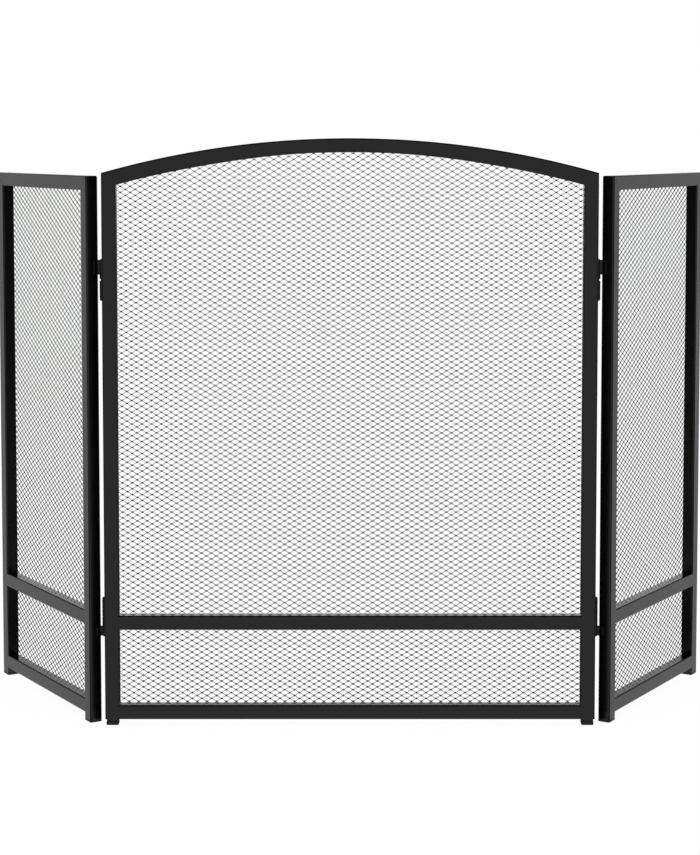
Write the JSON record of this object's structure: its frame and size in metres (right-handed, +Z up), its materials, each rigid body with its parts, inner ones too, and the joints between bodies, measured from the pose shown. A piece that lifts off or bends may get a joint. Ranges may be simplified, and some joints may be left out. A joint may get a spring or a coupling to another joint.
{
  "type": "fireplace screen",
  "caption": "Free-standing folding fireplace screen: arched centre panel, two hinged side wings, black steel tube frames backed with expanded metal mesh.",
  "frame": {"origin": "on the floor, under the middle of the screen's box in the half-folded standing pose", "axes": "+Z up, +X along the centre panel to the right as seen from the room, -Y towards the room, +Y towards the fireplace"},
  "size_m": [0.956, 0.2682, 0.737],
  "materials": {
    "frame_steel": "satin black powder coat",
    "mesh_steel": "satin black powder coat on expanded metal",
    "hinge_steel": "satin black powder coat",
    "foot_plastic": "matt black moulded plastic"
  },
  "bodies": {
    "centre_panel": {"centre_arch_rail": "frame_steel", "centre_bottom_rail": "frame_steel", "centre_crossbar": "frame_steel", "centre_left_foot": "foot_plastic", "centre_left_post": "frame_steel", "centre_mesh": "mesh_steel", "centre_right_foot": "foot_plastic", "centre_right_post": "frame_steel", "left_lower_hinge_centre_barrel": "hinge_steel", "left_lower_hinge_pin": "hinge_steel", "left_upper_hinge_centre_barrel": "hinge_steel", "left_upper_hinge_pin": "hinge_steel", "right_lower_hinge_centre_barrel": "hinge_steel", "right_lower_hinge_pin": "hinge_steel", "right_upper_hinge_centre_barrel": "hinge_steel", "right_upper_hinge_pin": "hinge_steel"},
    "left_wing": {"left_lower_hinge_wing_barrel": "hinge_steel", "left_upper_hinge_wing_barrel": "hinge_steel", "left_wing_bottom_rail": "frame_steel", "left_wing_crossbar": "frame_steel", "left_wing_inner_foot": "foot_plastic", "left_wing_inner_post": "frame_steel", "left_wing_mesh": "mesh_steel", "left_wing_outer_foot": "foot_plastic", "left_wing_outer_post": "frame_steel", "left_wing_top_rail": "frame_steel"},
    "right_wing": {"right_lower_hinge_wing_barrel": "hinge_steel", "right_upper_hinge_wing_barrel": "hinge_steel", "right_wing_bottom_rail": "frame_steel", "right_wing_crossbar": "frame_steel", "right_wing_inner_foot": "foot_plastic", "right_wing_inner_post": "frame_steel", "right_wing_mesh": "mesh_steel", "right_wing_outer_foot": "foot_plastic", "right_wing_outer_post": "frame_steel", "right_wing_top_rail": "frame_steel"}
  },
  "joints": [
    {"name": "left_wing_fold", "type": "hinge", "parent": "centre_panel", "child": "left_wing", "pos_m": [-0.3096, -0.11407, 0.347], "axis": [0, 0, -1], "range_deg": [-58.8, 121.2]},
    {"name": "right_wing_fold", "type": "hinge", "parent": "centre_panel", "child": "right_wing", "pos_m": [0.3096, -0.11407, 0.347], "axis": [0, 0, 1], "range_deg": [-58.8, 121.2]}
  ]
}
